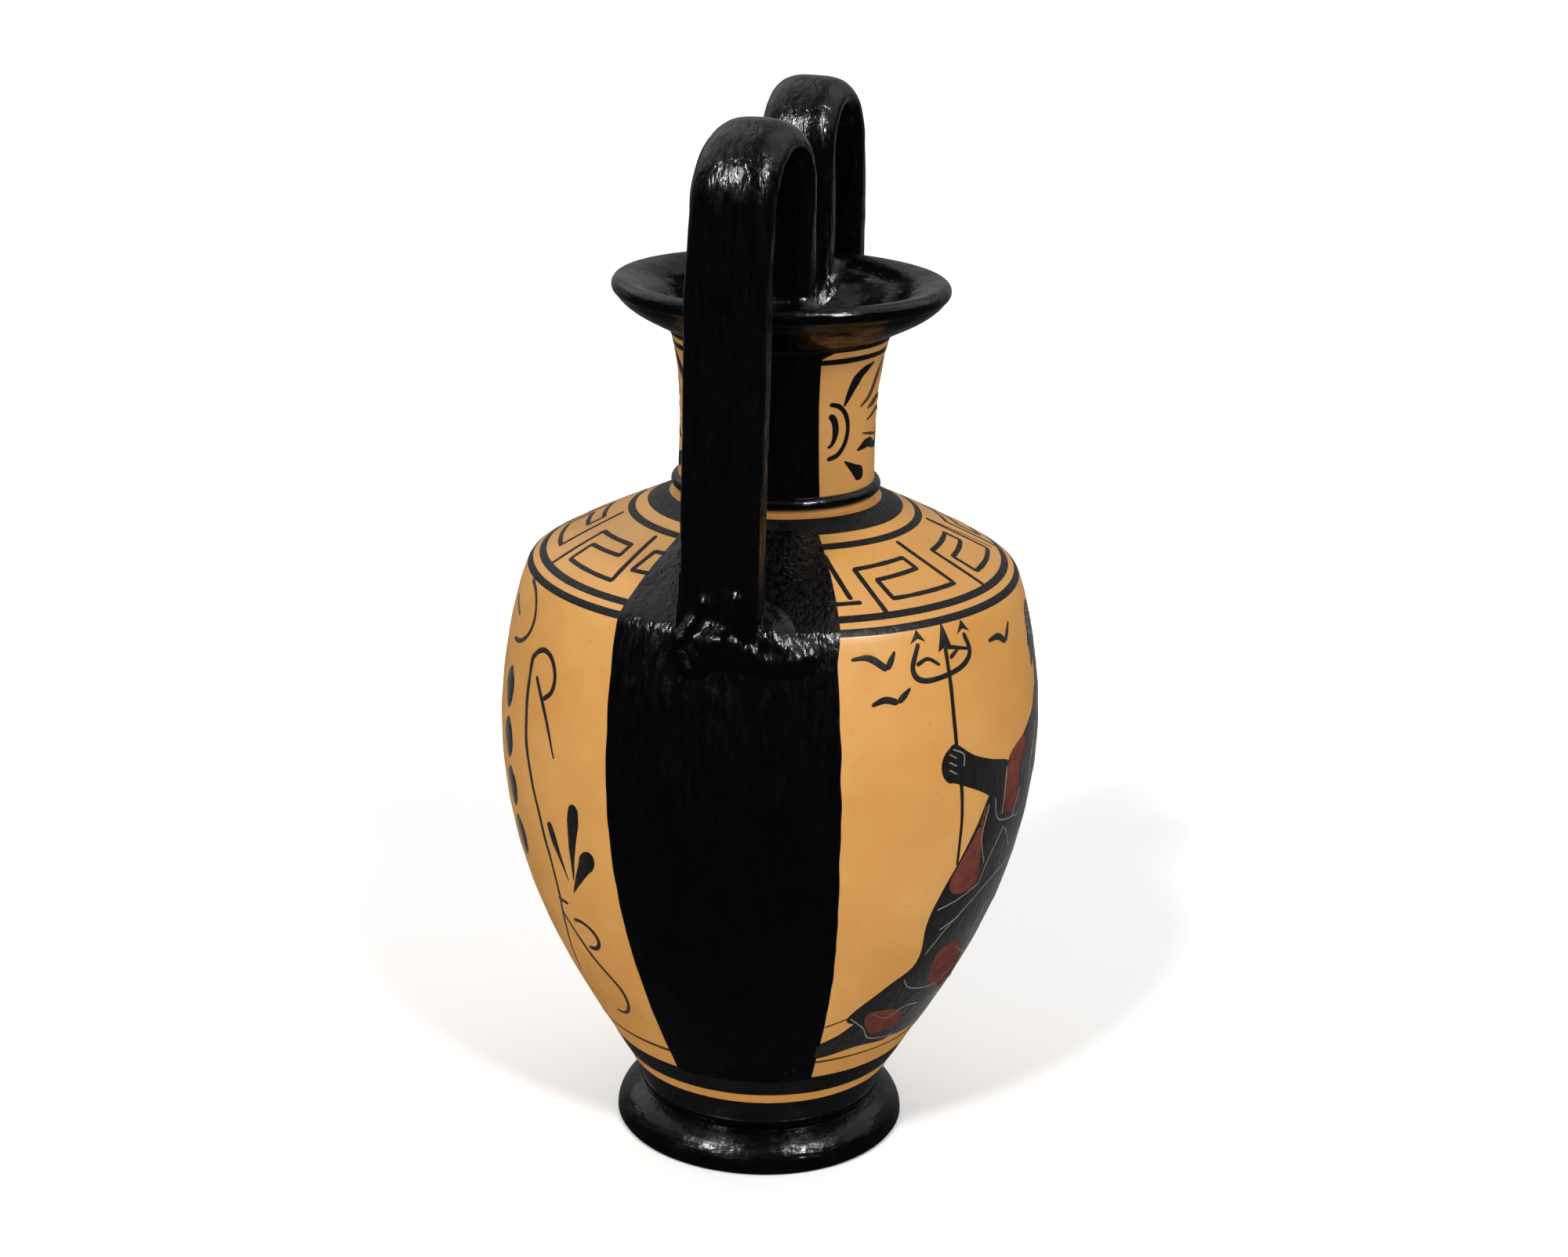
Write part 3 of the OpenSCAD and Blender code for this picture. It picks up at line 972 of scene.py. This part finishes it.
def make_neck(clay):
    bore = (NECK_TOP_R - WALL, NECK_TOP)
    inner = curve(bore, (THROAT_R, 206.0), (THROAT_R, 189.0), (THROAT_R, COLLAR_Z), 20)
    section = np.vstack([thin_out(NECK_LINE), [bore], inner])
    verts, faces = revolve(section)
    return mesh_object("jar_neck", verts, faces, clay, ["neck"])


RING_LOW, RING_HIGH = bottom("neck_ring"), top("neck_ring")


def make_neck_ring(glaze):
    """A half-round moulding, its back a little inside the neck's wall."""
    centre_z = (RING_LOW + RING_HIGH) / 2
    neck_r, _ = NECK.radius_height(centre_z)
    section = arc((float(neck_r), centre_z), (RING_HIGH - RING_LOW) / 2, -90, 90)
    inside = float(neck_r) - 1.0
    section = np.vstack([[(inside, RING_LOW)], section, [(inside, RING_HIGH)]])
    verts, faces = revolve(section)
    return mesh_object("neck_moulding", verts, faces, glaze, ["neck_ring"])


LIP_ROLL = 2.2
LIP = (RIM_R - LIP_ROLL, RIM_Z - LIP_ROLL)
DISH_LINE = curve((LIP[0], RIM_Z), (33.4, 229.5), (28.9, 225.0), (NECK_TOP_R - WALL, NECK_TOP), 24)


def make_mouth(glaze):
    lip_low = LIP[0] + LIP_ROLL * math.sin(math.radians(35)), LIP[1] - LIP_ROLL * math.cos(math.radians(35))
    section = np.vstack([
        [(NECK_TOP_R, NECK_TOP)],
        curve((NECK_TOP_R, NECK_TOP), (31.9, 219.6), (38.4, 221.5), lip_low, 20),
        arc(LIP, LIP_ROLL, -50, 90, 20),
        DISH_LINE,
    ])
    verts, faces = revolve(section)
    return mesh_object("mouth_dish", verts, faces, glaze, ["mouth"])


def make_foot(glaze):
    roll, roll_r, roll_z, hollow = 9.0, FOOT_R - 9.0, 1.0, 5.0
    seat_angle = math.degrees(math.asin((FOOT_TOP - 2.2 - roll_z) / roll))
    roll_line = arc((roll_r, roll_z), roll, -math.degrees(math.asin(roll_z / roll)), seat_angle, 30)
    section = np.vstack([
        [(0, hollow), (roll_r - 5, hollow), (roll_r - 3, 0.4), (roll_r - 2.4, 0)],
        roll_line[1:],
        [(BASE_R + 0.9, FOOT_TOP - 0.1), (BASE_R + 0.6, FOOT_TOP + 0.9), (BASE_R - 1.0, FOOT_TOP + 1.0),
         (0, FOOT_TOP + 0.3)],
    ])
    verts, faces = revolve(eased_foot(section))
    return mesh_object("foot_ring", verts, faces, glaze, ["foot"])


def eased_foot(section):
    line = eased(section, 1.0)
    line[0], line[-1] = section[0], section[-1]
    return thin_out(line, 0.6)


# ---- the handles ----

BEND_R = (STRAP_OUT - STRAP_IN - STRAP_T) / 2
BEND_X = (STRAP_OUT + STRAP_IN) / 2
BEND_Z = HANDLE_TOP - BEND_R - STRAP_T / 2
STRAP_LOW = EDGE_Z - 13.0


def strap_path(step=0.7):
    """Centreline of a handle on the +X side as (x, z) with the outward direction at each point."""
    up = [(BEND_X + BEND_R, z, 1.0, 0.0) for z in np.arange(STRAP_LOW, BEND_Z, step)]
    over = []
    for a in np.radians(np.linspace(0, 180, 64)):
        x, z = math.cos(a), math.sin(a)
        over.append((BEND_X + BEND_R * x, BEND_Z + BEND_R * z, x, z))
    down = [(BEND_X - BEND_R, z, -1.0, 0.0) for z in np.arange(BEND_Z - step, NECK_TOP, -step)]
    return np.array(up + over + down)


RING_POINTS = 112


def strap_ring(width, thick, roundness, camber=0.0):
    """Section of the strap: (outward, sideways) points, from boxy at 0.4 to an ellipse at 1.

    Camber is how far the edges of the outer face lie below its middle."""
    a = np.linspace(0, 2 * math.pi, RING_POINTS, endpoint=False)
    out = thick / 2 * np.sign(np.cos(a)) * abs(np.cos(a)) ** roundness
    side = width / 2 * np.sign(np.sin(a)) * abs(np.sin(a)) ** min(1.0, roundness * 1.25)
    return np.where(out > 0, out - camber * abs(2 * side / width) ** 4, out), side


def smooth_step(value, low, high):
    t = np.clip((value - low) / (high - low), 0, 1)
    return t * t * (3 - 2 * t)


def shoulder_height(r):
    """Height of the jar's outside at radius r, from the belly's widest place in to the collar."""
    upper = BELLY.line[BELLY.line[:, 1] >= BELLY_Z][::-1]
    return np.interp(r, upper[:, 0], upper[:, 1])


def dish_height(r):
    """Height of the mouth's hollow at radius r."""
    inward = DISH_LINE[::-1]
    return np.interp(r, inward[:, 0], inward[:, 1])


CROWN_LOW, CROWN_HIGH = HANDLE_TOP - 44.0, HANDLE_TOP - 4.0
CROWN_ROUNDING = {"left": 0.3, "right": 0.18}
CROWN_LEAN = 0.6
CROWN_CAMBER = 1.8
BURIED = 1.4
SEAT_HIGH = 172.0
FILLET_HIGH = 240.0


def belly_radius(z):
    """Radius of the belly's outside at a height, up to the edge."""
    belly = BELLY.line[BELLY.line[:, 1] <= EDGE_Z]
    return np.interp(z, belly[:, 1], belly[:, 0])


def seated(z, low, high, ground):
    """Heights between low and high, spread so that they start from the ground instead."""
    return np.where(z < high, ground + (z - low) * (high - ground) / (high - low), z)


def pressed_on(verts, seed):
    """The strap's lower end drawn out over the belly's edge, a little proud of the lumps round it."""
    radius = np.hypot(verts[:, 0], verts[:, 1])
    z = verts[:, 2]
    low = (z < EDGE_Z + 13) & (radius > EDGE_R - 1)
    offset = np.degrees(np.arctan2(verts[low, 1], verts[low, 0]))
    height = root_height(offset, z[low], seed)
    fade = 1 - smooth_step(z[low], EDGE_Z - 2, EDGE_Z + 8)
    proud = -0.5 + 1.1 * smooth_step(z[low], EDGE_Z - 8, EDGE_Z - 2)
    wanted = belly_radius(np.minimum(z[low], EDGE_Z)) + height * fade + proud * fade
    ridges = ridge_height(offset, z[low]) * smooth_step(z[low], EDGE_Z - 5, EDGE_Z)
    face = np.maximum(radius[low], wanted) + ridges
    verts[low, :2] *= (face / radius[low])[:, None]
    return verts


def handle_mesh(side_name, turn, seed):
    path = strap_path()
    verts = []
    for x, z, nx, nz in path:
        crown = smooth_step(z, CROWN_LOW, CROWN_HIGH)
        roundness = 0.44 + CROWN_ROUNDING[side_name] * crown
        out, side = strap_ring(STRAP_W, STRAP_T, roundness, CROWN_CAMBER * crown)
        side = side + CROWN_LEAN * crown
        verts.append(np.stack([x + nx * out, side, z + nz * out], -1))
    verts = turned(lumpy(np.vstack(verts), seed), turn)
    radius = np.hypot(verts[:, 0], verts[:, 1])
    inner_leg = radius < BEND_X
    tongue = 5.0 * smooth_step(radius, EDGE_R - 1, EDGE_R + 1.5)
    ground = np.where(inner_leg, dish_height(radius), shoulder_height(radius) - tongue) - BURIED
    low = np.where(inner_leg, NECK_TOP, STRAP_LOW)
    high = np.where(inner_leg, FILLET_HIGH, SEAT_HIGH)
    verts[:, 2] = seated(verts[:, 2], low, high, ground)
    verts = pressed_on(verts, seed)
    return verts, grid_faces(len(path), RING_POINTS) + end_faces(len(path), RING_POINTS)


def lumpy(verts, seed, slow=0.28, quick=0.12):
    """Points nudged by smooth noise, as hand-pulled clay is."""
    moved = verts.copy()
    for i, v in enumerate(verts):
        p = Vector(v)
        shift = noise.noise_vector(p / 17.0 + Vector((seed, 0, 0))) * slow
        shift += noise.noise_vector(p / 5.0 + Vector((0, seed, 0))) * quick
        moved[i] = v + np.array(shift)
    return moved


def turned(verts, degrees):
    """Points of a +X handle turned about the handle's outer strand."""
    a = math.radians(degrees)
    x, y = verts[:, 0] - STRAP_OUT, verts[:, 1]
    return np.stack([STRAP_OUT + x * math.cos(a) - y * math.sin(a), x * math.sin(a) + y * math.cos(a),
                     verts[:, 2]], -1)


def handle_turn(side):
    return -(LEFT_TURN if side == "left" else RIGHT_TURN)


def to_side(verts, side):
    """Points of a +X handle, carried half round the jar for the left one."""
    return verts * np.array([-1, -1, 1]) if side == "left" else verts


def make_handle(side, glaze):
    seed = 3.0 if side == "left" else 8.0
    verts, faces = handle_mesh(side, handle_turn(side), seed)
    return mesh_object(side + "_strap", to_side(verts, side), faces, glaze, [side + "_handle"])


# Lumps of clay pressed round a handle's lower end: azimuth from the handle's middle, place, the reach each
# way (degrees, mm) and the height in mm
ROOT_LUMPS = [
    (-0.5, 156.0, 10.0, 8.5, 2.8),
    (-4.5, 151.5, 5.5, 6.0, 2.3),
    (5.0, 152.5, 6.0, 5.0, 2.0),
    (14.0, 152.0, 9.0, 5.5, 2.4),
    (0.5, 162.0, 12.0, 8.0, 3.2),
    (9.5, 157.5, 8.0, 8.0, 2.2),
]
# Ridges that fingers left where the strap was drawn down: places along each, as in the lumps
ROOT_RIDGES = [
    [(-2.5, 164.0), (-6.0, 157.5), (-7.0, 154.0), (-5.5, 148.0)],
    [(4.5, 166.0), (1.5, 158.0), (-2.5, 151.0)],
]
RIDGE_RISE = 1.7
RIDGE_REACH = 1.5
ROOT_BLEND = 3.0
ROOT_MARKS = 1.0
EDGE_DEGREE = 1.1  # mm per degree of azimuth at the belly's edge


def ridge_height(azimuth, place):
    """Height of the finger ridges at places round a handle's middle."""
    height = np.zeros_like(azimuth)
    for ridge in ROOT_RIDGES:
        line = smooth_line(ridge, steps=6)
        for a, h in line:
            away = np.hypot((azimuth - a) * EDGE_DEGREE, place - h) / RIDGE_REACH
            height = np.maximum(height, RIDGE_RISE * np.exp(-away ** 2))
    return height


def root_height(azimuth, place, seed):
    """How far the pressed clay stands off the jar at places round a handle's middle."""
    total = np.zeros_like(azimuth)
    for a, h, reach_a, reach_h, height in ROOT_LUMPS:
        near = np.clip(1 - ((azimuth - a) / reach_a) ** 2 - ((place - h) / reach_h) ** 2, 0, 1)
        total += (height * near) ** ROOT_BLEND
    total = total ** (1 / ROOT_BLEND)
    marks = np.empty_like(total)
    for i in np.ndindex(total.shape):
        across = azimuth[i] * EDGE_DEGREE
        p = Vector((across / 3.2 + place[i] / 7.0, place[i] / 5.5 - across / 12.0, seed))
        fine = Vector((across / 1.8, place[i] / 2.2, seed + 4))
        marks[i] = noise.noise(p) + 0.22 * noise.noise(fine)
    return total + (ROOT_MARKS * marks + ridge_height(azimuth, place)) * np.clip(total / 1.6, 0, 1)


def make_root(side, glaze):
    """The lower coil, pressed flat round the strap's end and feathered out onto the belly and shoulder."""
    step = 0.5
    place, azimuth = np.meshgrid(np.arange(143.0, 174.0, step), np.arange(-17.0, 27.0, step), indexing="ij")
    height = root_height(azimuth, place, 2.0 if side == "left" else 6.0)
    kept = (height > 0.05).ravel()
    faces = [face for face in grid_faces(*azimuth.shape, closed=False) if kept[list(face)].any()]
    middle = -90.0 if side == "left" else 90.0
    slip = Slip()
    places = np.stack([azimuth.ravel() + middle, place.ravel()], -1)
    slip.shell(BELLY, places, faces, np.where(kept, height.ravel(), -0.1))
    return slip.build(side + "_root", glaze, "black_glaze", [side + "_lower_coil"])


FILLET = 4.2


def make_fillet(side, glaze):
    """The upper coil, smoothed into a hollow fillet between the strap and the mouth's dish."""
    sweep = np.radians(np.linspace(0, 90, 9))
    profile = [(FILLET, -1.0)]
    profile += [(FILLET * (1 - math.sin(a)), FILLET * (1 - math.cos(a))) for a in sweep]
    profile += [(-1.0, FILLET), (-1.0, -1.0)]
    verts = []
    for spread, rise in profile:
        out, wide = strap_ring(STRAP_W + 2 * spread, STRAP_T + 2 * spread, 0.55)
        ring = np.stack([BEND_X - BEND_R - out, wide, np.full(RING_POINTS, rise)], -1)
        ring = turned(ring, handle_turn(side))
        ring[:, 2] += dish_height(np.hypot(ring[:, 0], ring[:, 1]))
        verts.append(ring)
    faces = grid_faces(len(profile), RING_POINTS, looped=True)
    verts = lumpy(np.vstack(verts), 12.0, 0.2, 0.2)
    return mesh_object(side + "_fillet", to_side(verts, side), faces, glaze,
                       [side + "_upper_coil"])


# ---- scene ----

def main():
    make_camera()
    make_world()
    make_floor()
    make_lights()
    bpy.context.scene.view_settings.view_transform = "Standard"
    clay = clay_material()
    glaze = glaze_material("black_gloss", 0.2, 0.5)
    wheel_glaze = glaze_material("wheel_gloss", 0.2, 0.5, grain=(80.0, 80.0, 520.0))
    paint = glaze_material("black_slip", 0.42, 0.08, SLIP_BLACK, 0.14, bloom=0.03)
    thin_paint = glaze_material("thin_black_slip", 0.42, 0.08, SLIP_BLACK, 0.3, bloom=0.16)
    red = slip_material("dark_red_slip", DARK_RED)
    pale = slip_material("pale_slip", PALE)
    brown = slip_material("brown_slip", BROWN)
    make_body(clay)
    make_neck(clay)
    make_neck_ring(wheel_glaze)
    make_mouth(wheel_glaze)
    make_foot(wheel_glaze)
    for side in ("left", "right"):
        make_handle(side, glaze)
        make_root(side, glaze)
        make_fillet(side, glaze)
    paint_bands(paint, brown)
    paint_panels(glaze)
    paint_key_pattern(paint)
    paint_neck(paint, brown)
    paint_back(thin_paint)
    paint_front(thin_paint, red, pale, brown)


main()
